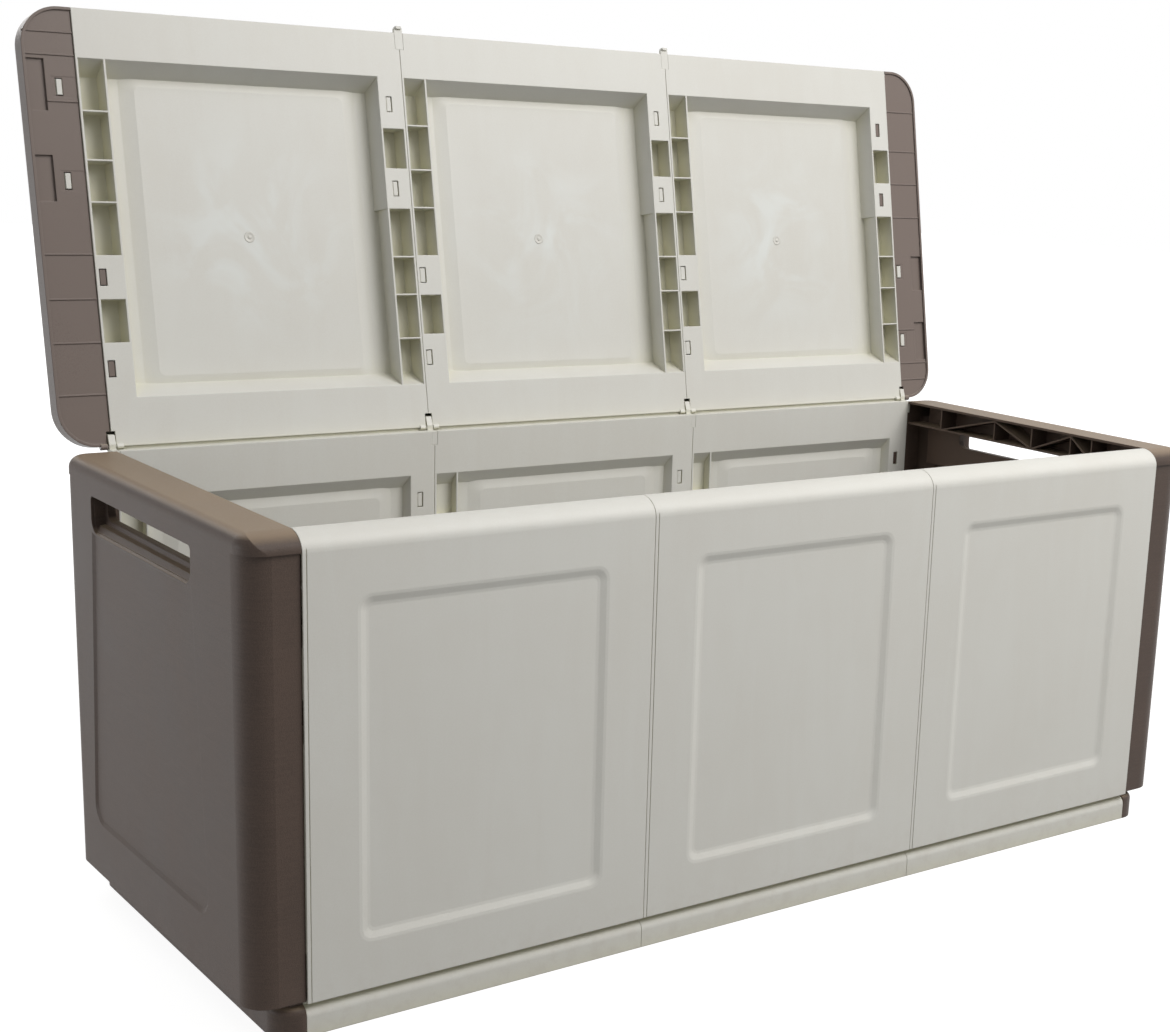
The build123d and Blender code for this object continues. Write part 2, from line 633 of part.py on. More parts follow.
def lid_panel(name, x):
    frame = lid_frame(x)
    span = (-PITCH / 2, PITCH / 2)
    with BuildPart() as panel:
        module_body(frame, LID_LENGTH, LID_THICKNESS, LID_INSET)
        round_edge(frame, span, LID_LENGTH, 1, LID_EDGE_ROUND, LID_EDGE_ROUND)
        round_edge(frame, span, 0, -1, LID_EDGE_ROUND, LID_EDGE_ROUND)
        # lip that hangs behind the back panel's rim and is the lid's stop
        block(frame, (-LIP_HALF, LIP_HALF), (-LIP_REACH, 3), LIP_DEPTHS)
        for side in (-1, 1):
            hinge_ear(x + side * PITCH / 2, -side)
        for side in (-1, 1):
            seam = side * PITCH / 2
            lid_notches(frame, seam, -side)
            pin_hole(x + seam, -side)
            if abs(x + seam) < PITCH:
                catch_seat(frame, seam, -side)
    finish_part(panel.part, f"lid_panel_{name}")


def cap_outline(frame, side, depth, margin):
    inner = 1.5 * PITCH + SEAM_GAP / 2
    outer = END_X - margin
    with BuildSketch(frame.offset(depth)) as outline:
        with Locations((side * (inner + outer) / 2, LID_LENGTH / 2)):
            Rectangle(outer - inner, LID_LENGTH - 2 * margin)
        corners = outline.vertices().sort_by(Axis.X)
        fillet(corners[-2:] if side > 0 else corners[:2], CAP_CORNER - margin)
    return outline.sketch


def lid_end(name, side):
    frame = lid_frame(0)
    neighbour = lid_frame(side * 2 * PITCH)
    seam = side * 1.5 * PITCH
    inner = 1.5 * PITCH + SEAM_GAP / 2
    floor = LID_THICKNESS - CAP_STEP
    with BuildPart() as cap:
        extrude(cap_outline(frame, side, 0, 0), amount=LID_THICKNESS)
        outer_rim = cap.faces().sort_by(Axis(frame.origin, frame.z_dir))[0].edges()
        rim = outer_rim.sort_by(lambda edge: abs(edge.center().X))[1:]
        fillet(rim, LID_EDGE_ROUND)

        # hollow, open towards the neighbouring panel
        hollow_x = (side * (inner - 1), side * (END_X - 7))
        block(frame, hollow_x, (36, LID_LENGTH - 36), (SKIN, floor - 6), Mode.SUBTRACT)
        shallow_x = (side * (inner - 1), side * (END_X - 36))
        block(frame, shallow_x, (7, LID_LENGTH - 7), (SKIN, floor - 6), Mode.SUBTRACT)

        # underside: a rim, a sunk floor with fine ribs and two deeper pockets
        extrude(cap_outline(frame, side, floor, CAP_RIM), amount=CAP_STEP + 1, mode=Mode.SUBTRACT)
        rib_x = (side * (inner + 0.2), side * (END_X - 2))
        for rib in CAP_RIBS:
            level = rib if side < 0 else LID_LENGTH - rib
            block(frame, rib_x, (level - 0.8, level + 0.8), (floor - 1, floor + 1))
        pad_x = (side * (END_X - 24), side * (END_X - CAP_RIM))
        for pad in CAP_PADS:
            levels = pad if side < 0 else (LID_LENGTH - pad[1], LID_LENGTH - pad[0])
            block(frame, pad_x, levels, (floor - 3, floor + 2), Mode.SUBTRACT)

        receivers(neighbour, -side, LID_THICKNESS, LID_LENGTH / REFERENCE_HEIGHT)
        tongues(neighbour, -side, LID_THICKNESS, LID_LENGTH / REFERENCE_HEIGHT)
        hinge_ear(seam, side)
        lid_notches(frame, seam, side)
        pin_hole(seam, side)
    finish_part(cap.part, f"lid_end_{name}")


def lid_catch(name, x):
    """Moulded finger at a seam of the lid's front edge, with a small nose under its tip."""
    frame = lid_frame(x)
    tip = LID_LENGTH + CATCH_REACH
    base = tip - CATCH_LENGTH
    with BuildPart() as catch:
        with BuildSketch(frame.offset(LID_THICKNESS - CATCH_THICKNESS)) as plan:
            with Locations((0, (base + tip) / 2)):
                Rectangle(CATCH_WIDTH - 0.4, CATCH_LENGTH)
            fillet(plan.vertices().sort_by(Axis.Y)[-2:], CATCH_WIDTH / 2 - 0.8)
        extrude(plan.sketch, amount=CATCH_THICKNESS)
        nose_y = (tip - 4, tip - 0.8)
        block(frame, (-4, 4), nose_y, (LID_THICKNESS - 1, LID_THICKNESS + CATCH_NOSE))
    finish_part(catch.part, f"lid_catch_{name}")


for name, x in zip(MODULE_NAMES, MODULE_X):
    front_panel(name, x)
    back_panel(name, x)
    floor_panel(name, x)
    lid_panel(name, x)

for name, side in (("left", -1), ("right", 1)):
    grip = grip_cut(side)
    end_panel(name, side, grip)
    end_frame(name, side, grip)
    base_end(name, side)
    lid_end(name, side)
    lid_catch(name, side * PITCH / 2)

for index, x in enumerate(SEAM_X, start=1):
    hinge_arm(index, x)
    hinge_pin(index, x)
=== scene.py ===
"""Finishes, fine mould details and studio for a modular storage bench, laid out as an add-on."""

import math

import bmesh
import bpy
from bpy.props import FloatProperty, FloatVectorProperty, IntProperty, PointerProperty
from mathutils import Matrix, Vector
from mathutils.bvhtree import BVHTree


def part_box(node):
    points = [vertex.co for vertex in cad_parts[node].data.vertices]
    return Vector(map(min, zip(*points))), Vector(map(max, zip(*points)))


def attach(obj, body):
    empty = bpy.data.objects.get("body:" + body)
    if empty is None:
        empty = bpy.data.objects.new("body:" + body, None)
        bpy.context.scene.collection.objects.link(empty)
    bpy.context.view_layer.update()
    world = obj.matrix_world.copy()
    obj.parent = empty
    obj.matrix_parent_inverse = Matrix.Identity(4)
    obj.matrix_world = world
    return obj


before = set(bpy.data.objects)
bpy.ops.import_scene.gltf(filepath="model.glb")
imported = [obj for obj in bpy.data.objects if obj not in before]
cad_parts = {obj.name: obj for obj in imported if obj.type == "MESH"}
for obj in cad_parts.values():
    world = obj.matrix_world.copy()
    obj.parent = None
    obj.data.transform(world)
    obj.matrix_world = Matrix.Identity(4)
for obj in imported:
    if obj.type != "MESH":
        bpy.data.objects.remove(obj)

bl_info = {
    "name": "Storage Bench",
    "version": (1, 0, 0),
    "blender": (4, 5, 0),
    "location": "View3D > Sidebar > Storage Bench",
    "description": "Moulded finishes, mould details and studio for a modular storage bench",
    "category": "Object",
}

MODULES = ("left", "centre", "right")
ENDS = ("left", "right")
HINGES = (1, 2, 3, 4)
LID_LEAN = math.radians(10.0)  # past upright, with the lid open
WEAR_WIDTH = 0.0022  # how far wear reaches over an outer edge
FLOOR_LEVEL = -0.0004  # just under the feet of the bench
# injection mark: (share of its radius, height over the panel)
GATE_PROFILE = (
    (1.0, -0.0003),
    (1.0, 0.0001),
    (0.93, 0.00025),
    (0.78, 0.00025),
    (0.70, 0.0001),
    (0.34, 0.0001),
    (0.30, 0.0005),
    (0.18, 0.0007),
    (0.05, 0.0006),
)
# directions of the camera's picture, and how far its middle is shifted, in picture widths
VIEW_RIGHT = (0.78809432, -0.61388303, 0.04533182)
VIEW_DOWN = (-0.10913754, -0.21182647, -0.97119439)
VIEW_AHEAD = (0.60580223, 0.76044538, -0.23393692)
VIEW_SHIFT = (-0.15661, 0.06695)


# ------------------------------------------------------------------ settings
def colour_setting(name, description, default):
    return FloatVectorProperty(
        name=name, description=description, subtype="COLOR", size=3, min=0.0, max=1.0, default=default
    )


def power_setting(name, description, default):
    return FloatProperty(
        name=name, description=description, min=0.0, max=1000.0, unit="POWER", default=default
    )


class BenchFinishSettings(bpy.types.PropertyGroup):
    """Colours and surface of the mouldings."""

    ivory: colour_setting("Ivory", "Colour of the panels", (0.675, 0.675, 0.640))
    taupe: colour_setting("Taupe", "Colour of the ends", (0.079, 0.0575, 0.0475))
    pale_taupe: colour_setting("Pale taupe", "Colour of the lid's ends", (0.114, 0.095, 0.087))
    zinc: colour_setting("Zinc", "Colour of the hinge pins", (0.55, 0.55, 0.54))
    grain: FloatProperty(
        name="Grain size",
        description="Width of one cell of the moulded grain",
        default=0.0011,
        min=0.0003,
        max=0.01,
        unit="LENGTH",
    )
    grain_depth: FloatProperty(
        name="Grain depth",
        description="Depth of the moulded grain",
        default=0.00012,
        min=0.0,
        max=0.002,
        unit="LENGTH",
    )


class BenchDetailSettings(bpy.types.PropertyGroup):
    """Small shapes left by the mould."""

    edge_radius: FloatProperty(
        name="Edge radius",
        description="Radius of the softened moulding edges",
        default=0.0015,
        min=0.0001,
        max=0.003,
        unit="LENGTH",
    )
    gate_radius: FloatProperty(
        name="Gate mark radius",
        description="Outer radius of the injection mark in the middle of a panel",
        default=0.007,
        min=0.002,
        max=0.02,
        unit="LENGTH",
    )
    gate_steps: IntProperty(
        name="Gate mark steps",
        description="Segments round an injection mark",
        default=48,
        min=12,
        max=128,
    )


class BenchStudioSettings(bpy.types.PropertyGroup):
    """Camera and light."""

    eye: FloatVectorProperty(
        name="Camera place",
        description="Position of the camera",
        subtype="TRANSLATION",
        unit="LENGTH",
        size=3,
        default=(-1.38951, -1.95211, 0.92935),
    )
    focal_length: FloatProperty(
        name="Focal length",
        description="Lens of the camera on a 36 mm sensor",
        default=57.901,
        min=10.0,
        max=300.0,
        unit="CAMERA",
    )
    sky: FloatProperty(
        name="Sky level",
        description="Strength of the even light from all around",
        default=0.36,
        min=0.0,
        max=2.0,
    )
    key: power_setting("Key light", "Power of the large lamp above the front", 92.0)
    fill: power_setting("Fill light", "Power of the lamp on the left", 20.0)
    rim: power_setting("Back light", "Power of the lamp behind the bench", 30.0)


# ------------------------------------------------------------------ shader expressions
class Signal:
    """One output of a shader node, usable in arithmetic."""

    def __init__(self, finish, socket):
        self.finish = finish
        self.socket = socket

    def maths(self, operation, first, second):
        return self.finish.node("ShaderNodeMath", {"operation": operation}, {0: first, 1: second})

    def __add__(self, other):
        return self.maths("ADD", self, other)

    def __radd__(self, other):
        return self.maths("ADD", other, self)

    def __sub__(self, other):
        return self.maths("SUBTRACT", self, other)

    def __rsub__(self, other):
        return self.maths("SUBTRACT", other, self)

    def __mul__(self, other):
        return self.maths("MULTIPLY", self, other)

    def __rmul__(self, other):
        return self.maths("MULTIPLY", other, self)

    def __pow__(self, other):
        return self.maths("POWER", self, other)

    def __rpow__(self, other):
        return self.maths("POWER", other, self)

    def __abs__(self):
        return self.maths("ABSOLUTE", self, 0.0)


class Finish:
    """The nodes of a material or a world, built from expressions."""

    def __init__(self, owner):
        self.owner = owner
        owner.use_nodes = True
        self.tree = owner.node_tree
        self.tree.nodes.clear()

    def node(self, kind, settings=None, sockets=None, output=0):
        """Adds a node: its settings first, then the values or links of its sockets."""
        made = self.tree.nodes.new(kind)
        for key, value in (settings or {}).items():
            if key == "stops":
                ramp = made.color_ramp.elements
                ramp[0].position, ramp[0].color = value[0]
                ramp[1].position, ramp[1].color = value[-1]
                for position, colour in value[1:-1]:
                    ramp.new(position).color = colour
            else:
                setattr(made, key, value)
        for key, value in (sockets or {}).items():
            if isinstance(value, Signal):
                self.tree.links.new(value.socket, made.inputs[key])
            else:
                made.inputs[key].default_value = value
        return Signal(self, made.outputs[output]) if made.outputs else None

    def place(self):
        """Position on the piece, which stays with it when the lid moves."""
        return self.node("ShaderNodeTexCoord", output="Object")

    def facing(self):
        """Direction a face looks in, on the piece."""
        return self.node("ShaderNodeTexCoord", output="Normal")

    def split(self, vector):
        parts = self.node("ShaderNodeSeparateXYZ", sockets={0: vector})
        outputs = parts.socket.node.outputs
        return [Signal(self, outputs[index]) for index in range(3)]

    def stretch(self, vector, factors):
        return self.node(
            "ShaderNodeVectorMath", {"operation": "MULTIPLY"}, {0: vector, 1: factors}
        )

    def noise(self, vector, scale, detail=2.0, roughness=0.5, distortion=0.0):
        return self.node(
            "ShaderNodeTexNoise",
            sockets={
                "Vector": vector,
                "Scale": scale,
                "Detail": detail,
                "Roughness": roughness,
                "Distortion": distortion,
            },
        )

    def cells(self, vector, scale):
        return self.node("ShaderNodeTexVoronoi", sockets={"Vector": vector, "Scale": scale})

    def ramp(self, value, low, high):
        """0 at low, 1 at high, with a smooth change between them."""
        return self.node(
            "ShaderNodeMapRange",
            {"interpolation_type": "SMOOTHSTEP"},
            {"Value": value, "From Min": low, "From Max": high, "To Min": 0.0, "To Max": 1.0},
        )

    def blend(self, factor, first, second):
        """Colour between two colours."""
        return self.node(
            "ShaderNodeMix", {"data_type": "RGBA"}, {0: factor, 6: first, 7: second}, output=2
        )

    def bump(self, height, distance, strength=1.0, normal=None):
        sockets = {"Strength": strength, "Distance": distance, "Height": height}
        if normal is not None:
            sockets["Normal"] = normal
        return self.node("ShaderNodeBump", sockets=sockets)

    def surface(self, sockets):
        """Closes the material with one principled shader."""
        shader = self.node("ShaderNodeBsdfPrincipled", sockets=sockets)
        self.node("ShaderNodeOutputMaterial", sockets={"Surface": shader})
        return self.owner


def scaled(colour, factors):
    """A colour with its red, green and blue multiplied, and its alpha added."""
    return (*(min(1.0, part * factor) for part, factor in zip(colour, factors)), 1.0)


def tint(colour, factor, warmth=0.0):
    """A colour made lighter or darker, and a little warmer or cooler."""
    return scaled(colour, (factor * (1 + warmth), factor, factor * (1 - warmth)))


def rounded_edges(finish, radius):
    """Normal that turns smoothly over the sharp edges of a moulding."""
    return finish.node("ShaderNodeBevel", {"samples": 6}, {"Radius": radius})


def worn_edges(finish):
    """How near to an edge a point lies, from 0 on a flat face."""
    rounded = rounded_edges(finish, WEAR_WIDTH)
    flat = finish.node("ShaderNodeNewGeometry", output="Normal")
    turned = finish.node(
        "ShaderNodeVectorMath", {"operation": "DOT_PRODUCT"}, {0: rounded, 1: flat}, output="Value"
    )
    return finish.ramp(1.0 - turned, 0.02, 0.22)


def sheltered(finish, distance):
    """How deep a point lies in a recess, from 0 on an open face; it masks the painted shade of recesses."""
    openness = finish.node("ShaderNodeAmbientOcclusion", {"samples": 6}, {"Distance": distance}, output="AO")
    return 1.0 - finish.ramp(openness, 0.20, 0.95)


def scuffed(finish, place, scale, low):
    """Patches where an edge is rubbed."""
    return finish.ramp(finish.noise(place, scale, 4.0, 0.7), low, 0.62)


def dust(finish, place, height):
    """Patches of dust near the ground, up to a height."""
    z = finish.split(place)[2]
    patches = finish.ramp(finish.noise(place, 60.0, 4.0, 0.65), 0.42, 0.7)
    return (1.0 - finish.ramp(z, 0.0, height)) * patches


def looking(axis, sign=1.0, bias=0.1):
    """A test for outer faces: above 0 where a face looks along an axis of the piece."""
    return lambda finish: finish.split(finish.facing())[axis] * sign + bias


def looking_endwise(finish):
    """The same test for the ends: above 0 where a face looks away from the middle, up or down."""
    x = finish.split(finish.place())[0]
    side = finish.node("ShaderNodeMath", {"operation": "SIGN"}, {0: x})
    facing = finish.split(finish.facing())
    return facing[0] * side + abs(facing[2]) + 0.1


# ------------------------------------------------------------------ finishes
def ivory_moulding(name, colour, look, edge_radius, outward, centre_z, pitch):
    """Ivory polypropylene: finely grained outside, smooth with flow marks inside."""
    finish = Finish(bpy.data.materials.new(name))
    place = finish.place()
    x, _, z = finish.split(place)
    outside = finish.ramp(outward(finish), -0.2, 0.2)

    # slow shade changes from the cooling of the moulding
    clouds = finish.noise(place, 5.0, 3.0, 0.55, 0.4)
    streaks = finish.noise(finish.stretch(place, (26.0, 26.0, 4.0)), 1.0, 2.0, 0.5, 1.2)
    specks = finish.noise(place, 520.0, 2.0, 0.6)

    # flow of the melt, spreading from the gate in the middle of each panel; its lighter, cooler patches
    # inside are partly flow marks and partly a painted sheen
    across = finish.node("ShaderNodeMath", {"operation": "WRAP"}, {0: x, 1: pitch / 2, 2: -pitch / 2})
    up = z - centre_z
    reach = (across * across + up * up) ** 0.5
    swirl = finish.noise(finish.stretch(place, (9.0, 0.0, 9.0)), 1.0, 3.0, 0.55, 1.6)
    gate_flow_and_sheen = (1.0 - finish.ramp(reach, 0.0, 0.17)) * finish.ramp(swirl, 0.40, 0.66)
    rings = finish.node("ShaderNodeMath", {"operation": "SINE"}, {0: reach * 420.0 + swirl * 9.0})

    shade = 0.45 * clouds + 0.25 * streaks + 0.30 * specks
    mottled = finish.ramp(shade, 0.35, 0.66)
    open_base = finish.blend(mottled, tint(colour, 0.97, 0.008), tint(colour, 1.02, -0.004))
    # painted shade: recesses are darkened and warmed to an olive tone, standing in for the shade and warm
    # bounce light inside them
    painted_recess_shade = scaled(colour, (0.97, 0.95, 0.80))
    base = finish.blend(sheltered(finish, 0.035), open_base, painted_recess_shade)
    # partly painted highlight: inner faces round the gate are lightened and cooled like a sheen, and partly
    # flow marks
    flow_marks_and_sheen = finish.blend(gate_flow_and_sheen * (1.0 - outside), base, tint(colour, 1.12, -0.035))
    edge = worn_edges(finish)
    scuffs = scuffed(finish, place, 140.0, 0.44)
    soiled = finish.blend(dust(finish, place, 0.09) * 0.35, flow_marks_and_sheen, tint(colour, 0.80, 0.05))
    shown = finish.blend(edge * scuffs * 0.45, soiled, tint(colour, 1.12, -0.01))

    pebbles = finish.cells(place, 1.0 / look.grain)
    fine = finish.noise(place, 2.2 / look.grain, 2.0, 0.6)
    skin = (0.65 * pebbles + 0.35 * fine) * outside
    sheet = finish.noise(place, 38.0, 3.0, 0.5) * 1.6 + rings * 0.02 * (1.0 - outside)
    grained = finish.bump(skin, look.grain_depth, 0.55, rounded_edges(finish, edge_radius))
    normal = finish.bump(sheet, 0.00035, 0.30, grained)

    uneven = 0.10 * (clouds - 0.5) + 0.12 * (specks - 0.5) + 0.10 * edge * scuffs
    gloss = 0.40 + 0.12 * outside + uneven - 0.06 * gate_flow_and_sheen
    return finish.surface(
        {
            "Base Color": shown,
            "Roughness": gloss,
            "IOR": 1.49,
            "Specular IOR Level": 0.42,
            "Normal": normal,
        }
    )


def taupe_moulding(name, colour, look, edge_radius, outward, polished):
    """Taupe polypropylene: leather-like grain outside, smooth and glossier inside."""
    finish = Finish(bpy.data.materials.new(name))
    place = finish.place()
    outside = finish.ramp(outward(finish), -0.2, 0.2)

    clouds = finish.noise(place, 7.0, 3.0, 0.55, 0.5)
    streaks = finish.noise(finish.stretch(place, (30.0, 30.0, 520.0)), 1.0, 3.0, 0.6, 0.4)
    specks = finish.noise(place, 620.0, 2.0, 0.6)
    pebbles = finish.cells(place, 1.0 / look.grain)
    creases = finish.noise(finish.stretch(place, (1.0, 1.0, 0.55)), 0.9 / look.grain, 3.0, 0.6, 0.8)
    fine = finish.noise(place, 2.4 / look.grain, 2.0, 0.6)

    shade = 0.40 * clouds + 0.25 * streaks + 0.35 * specks
    base = finish.blend(finish.ramp(shade, 0.34, 0.66), tint(colour, 0.82), tint(colour, 1.18, 0.02))
    # painted light: the inner faces are made lighter, standing in for the light that reaches them by bounce
    smooth = finish.blend(1.0 - outside, base, tint(colour, 1.7, 0.02))
    pitted = finish.blend(finish.ramp(pebbles, 0.30, 0.85) * outside * 0.35, smooth, tint(colour, 0.78, 0.02))
    edge = worn_edges(finish)
    scuffs = scuffed(finish, place, 150.0, 0.42)
    rubbed = finish.blend(edge * (0.35 + 0.65 * scuffs) * 0.55, pitted, tint(colour, 1.75, -0.01))
    # painted sheen: the upper faces are made far paler, standing in for the bright reflection they show at a
    # grazing view
    top_sheen_mask = finish.ramp(finish.split(finish.facing())[2], 0.55, 0.98)
    painted_top_sheen = finish.blend(top_sheen_mask * (0.70 + 0.30 * clouds), rubbed, scaled(colour, (3.6, 3.8, 3.3)))
    shown = finish.blend(dust(finish, place, 0.10) * 0.30, painted_top_sheen, tint(colour, 1.7, 0.03))

    skin = (0.50 * pebbles + 0.30 * creases + 0.20 * fine) * (0.12 + 0.88 * outside)
    sheet = finish.noise(place, 30.0, 3.0, 0.5)
    grained = finish.bump(skin, look.grain_depth * 2.5, 0.75, rounded_edges(finish, edge_radius))
    normal = finish.bump(sheet, 0.0004, 0.30, grained)

    gloss = polished + 0.08 * outside + 0.12 * (clouds - 0.5) + 0.14 * (specks - 0.5) + 0.10 * edge * scuffs
    return finish.surface(
        {
            "Base Color": shown,
            "Roughness": gloss,
            "IOR": 1.49,
            "Specular IOR Level": 0.20,
            "Normal": normal,
        }
    )


def zinc_plating(name, colour):
    """Zinc-plated steel with turned grooves and small dull spots."""
    finish = Finish(bpy.data.materials.new(name))
    place = finish.place()
    turned = finish.noise(finish.stretch(place, (3200.0, 60.0, 60.0)), 1.0, 2.0, 0.5)
    spots = finish.ramp(finish.noise(place, 700.0, 4.0, 0.7), 0.45, 0.62)
    base = finish.blend(spots, tint(colour, 0.82, 0.01), tint(colour, 1.06, -0.01))
    return finish.surface(
        {
            "Base Color": base,
            "Metallic": 1.0,
            "Roughness": 0.28 + 0.22 * spots,
            "Normal": finish.bump(turned, 0.00003, 0.6),
        }
    )


# ------------------------------------------------------------------ shapes
def dress(nodes, material):
    """Gives CAD nodes their finish."""
    for name in nodes:
        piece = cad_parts[name]
        piece.data.materials.clear()
        piece.data.materials.append(material)


def lathe(name, profile, steps):
    """Round solid from a profile of (radius, height) points, standing on z = 0."""
    made = bmesh.new()
    rings = []
    for radius, height in profile:
        ring = []
        for step in range(steps):
            angle = 2 * math.pi * step / steps
            ring.append(made.verts.new((radius * math.cos(angle), radius * math.sin(angle), height)))
        rings.append(ring)
    for lower, upper in zip(rings, rings[1:]):
        for step in range(steps):
            after = (step + 1) % steps
            made.faces.new((lower[step], lower[after], upper[after], upper[step]))
    made.faces.new(list(reversed(rings[0])))
    made.faces.new(rings[-1])
    mesh = bpy.data.meshes.new(name)
    made.to_mesh(mesh)
    made.free()
    mesh.polygons.foreach_set("use_smooth", [True] * len(mesh.polygons))
    mesh.set_sharp_from_angle(angle=math.radians(50.0))
    piece = bpy.data.objects.new(name, mesh)
    bpy.context.scene.collection.objects.link(piece)
    return piece


def touch(node, start, direction):
    """Point and outward normal where a straight line meets a CAD node."""
    tree = BVHTree.FromObject(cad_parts[node], bpy.context.evaluated_depsgraph_get())
    point, normal, _, _ = tree.ray_cast(Vector(start), Vector(direction).normalized())
    if point is None:
        raise RuntimeError(f"nothing of {node} lies before {tuple(start)}")
    return point, normal


def gate_mark(name, node, body, start, direction, settings):
    """Injection mark: a small nub in a shallow ring, where the melt entered the mould."""
    point, normal = touch(node, start, direction)
    profile = [(settings.gate_radius * share, height) for share, height in GATE_PROFILE]
    piece = lathe(name, profile, settings.gate_steps)
    turn = normal.to_track_quat("Z", "Y").to_matrix().to_4x4()
    piece.matrix_world = Matrix.Translation(point) @ turn
    piece.data.materials.append(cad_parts[node].data.materials[0])
    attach(piece, body)


# ------------------------------------------------------------------ operators
def module_pitch():
    """Length of one module, from the left sides of two neighbours."""
    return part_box("floor_panel_right")[0].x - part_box("floor_panel_centre")[0].x


def middle(node):
    low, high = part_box(node)
    return (low + high) / 2


class BENCH_OT_walls(bpy.types.Operator):
    """Finish the front and back panels"""

    bl_idname = "bench.walls"
    bl_label = "Walls"

    def execute(self, context):
        look = context.scene.bench_finish
        radius = context.scene.bench_detail.edge_radius
        for wall, sign in (("front", -1.0), ("back", 1.0)):
            material = ivory_moulding(
                f"ivory_{wall}_moulding",
                look.ivory,
                look,
                radius,
                looking(1, sign),
                middle(f"{wall}_panel_centre").z,
                module_pitch(),
            )
            dress([f"{wall}_panel_{module}" for module in MODULES], material)
        return {"FINISHED"}


class BENCH_OT_floor(bpy.types.Operator):
    """Finish the floor panels"""

    bl_idname = "bench.floor"
    bl_label = "Floor"

    def execute(self, context):
        look = context.scene.bench_finish
        radius = context.scene.bench_detail.edge_radius
        upper = looking(2, bias=0.5)
        material = ivory_moulding(
            "ivory_floor_moulding", look.ivory, look, radius, upper, 0.0, module_pitch()
        )
        dress([f"floor_panel_{module}" for module in MODULES], material)
        return {"FINISHED"}


class BENCH_OT_ends(bpy.types.Operator):
    """Finish the end panels and the ends of the base"""

    bl_idname = "bench.ends"
    bl_label = "Ends"

    def execute(self, context):
        look = context.scene.bench_finish
        radius = context.scene.bench_detail.edge_radius
        material = taupe_moulding("taupe_end_moulding", look.taupe, look, radius, looking_endwise, 0.38)
        dress([f"{kind}_{end}" for kind in ("end_panel", "end_frame", "base_end") for end in ENDS], material)
        return {"FINISHED"}


class BENCH_OT_lid(bpy.types.Operator):
    """Finish the lid panels"""

    bl_idname = "bench.lid"
    bl_label = "Lid"

    def execute(self, context):
        look = context.scene.bench_finish
        radius = context.scene.bench_detail.edge_radius
        height = middle("lid_panel_centre").z
        material = ivory_moulding(
            "ivory_lid_moulding", look.ivory, look, radius, looking(1), height, module_pitch()
        )
        dress([f"lid_panel_{module}" for module in MODULES], material)
        return {"FINISHED"}


class BENCH_OT_lid_ends(bpy.types.Operator):
    """Finish the ends of the lid"""

    bl_idname = "bench.lid_ends"
    bl_label = "Lid ends"

    def execute(self, context):
        look = context.scene.bench_finish
        radius = context.scene.bench_detail.edge_radius
        material = taupe_moulding("taupe_lid_moulding", look.pale_taupe, look, radius, looking(1), 0.30)
        dress([f"lid_end_{end}" for end in ENDS], material)
        return {"FINISHED"}


class BENCH_OT_fittings(bpy.types.Operator):
    """Finish the hinge arms, hinge pins and catches"""

    bl_idname = "bench.fittings"
    bl_label = "Fittings"

    def execute(self, context):
        look = context.scene.bench_finish
        radius = context.scene.bench_detail.edge_radius / 2
        moulded = ivory_moulding(
            "ivory_fitting_moulding", look.ivory, look, radius, looking(1), 0.0, module_pitch()
        )
        dress([f"hinge_arm_{index}" for index in HINGES], moulded)
        dress([f"lid_catch_{end}" for end in ENDS], moulded)
        dress([f"hinge_pin_{index}" for index in HINGES], zinc_plating("zinc_pin", look.zinc))
        return {"FINISHED"}


class BENCH_OT_gate_marks(bpy.types.Operator):
    """Add the injection marks in the middle of the panels"""

    bl_idname = "bench.gate_marks"
    bl_label = "Gate marks"

    def execute(self, context):
        detail = context.scene.bench_detail
        lid_outward = Vector((0.0, math.cos(LID_LEAN), -math.sin(LID_LEAN)))
        for module in MODULES:
            node = f"lid_panel_{module}"
            start = middle(node) - lid_outward * 0.2
            gate_mark(f"lid_gate_mark_{module}", node, "lid", start, lid_outward, detail)
            for wall, sign in (("front", -1.0), ("back", 1.0)):
                node = f"{wall}_panel_{module}"
                centre = middle(node)
                start = (centre.x, 0.0, centre.z)
                name = f"{wall}_gate_mark_{module}"
                gate_mark(name, node, "chest", start, (0.0, sign, 0.0), detail)
        return {"FINISHED"}


# ------------------------------------------------------------------ stage
def area_lamp(name, place, target, size, power, colour):
    data = bpy.data.lights.new(name, "AREA")
    data.shape = "DISK"
    data.size = size
    data.energy = power
    data.color = colour
    lamp = bpy.data.objects.new(name, data)
    lamp.location = place
    lamp.rotation_mode = "QUATERNION"
    lamp.rotation_quaternion = (Vector(target) - Vector(place)).to_track_quat("-Z", "Y")
    bpy.context.scene.collection.objects.link(lamp)


def seen_rays(finish):
    """1 for rays that show the backdrop itself: seen directly, in a reflection or through glass."""
    outputs = finish.node("ShaderNodeLightPath").socket.node.outputs
    kinds = ("Is Camera Ray", "Is Glossy Ray", "Is Transmission Ray")
    seen = [Signal(finish, outputs[name]) for name in kinds]
    return finish.node("ShaderNodeClamp", sockets={"Value": seen[0] + seen[1] + seen[2]})


def studio_sky(strength):
    """Even light from all around, plain white where it is seen."""
    sky = Finish(bpy.data.worlds.new("studio_sky"))
    pale_sky = (1.0, 0.99, 0.975, 1.0)
    even = sky.node("ShaderNodeBackground", sockets={"Color": pale_sky, "Strength": strength})
    white = sky.node("ShaderNodeBackground", sockets={"Color": (1.0, 1.0, 1.0, 1.0), "Strength": 1.0})
    both = sky.node("ShaderNodeMixShader", sockets={0: seen_rays(sky), 1: even, 2: white})
    sky.node("ShaderNodeOutputWorld", sockets={"Surface": both})
    bpy.context.scene.world = sky.owner


